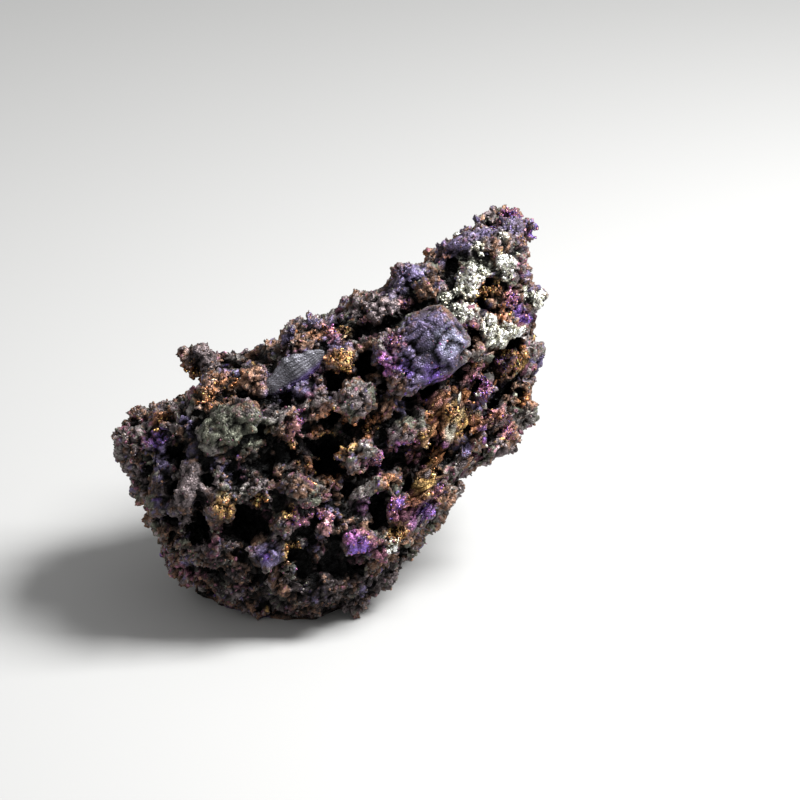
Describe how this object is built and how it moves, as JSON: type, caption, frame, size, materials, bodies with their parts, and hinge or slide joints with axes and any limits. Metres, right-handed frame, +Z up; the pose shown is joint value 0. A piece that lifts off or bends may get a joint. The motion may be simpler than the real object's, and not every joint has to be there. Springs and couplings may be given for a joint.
{
  "type": "chalcocite mineral specimen",
  "caption": "Hand-sized craggy lump of dark copper sulphide with knobs, a bright crust and gilt ledges, standing on a flat spot.",
  "frame": {"origin": "middle of the bounding box's underside, on the surface that the specimen stands on", "axes": "+X to the viewer's right along the specimen, +Y away from the viewer, +Z up"},
  "size_m": [0.053, 0.042, 0.042],
  "materials": {
    "chalcocite": "sub-metallic, rough"
  },
  "bodies": {
    "root": {"chalcocite": "chalcocite"}
  },
  "joints": []
}
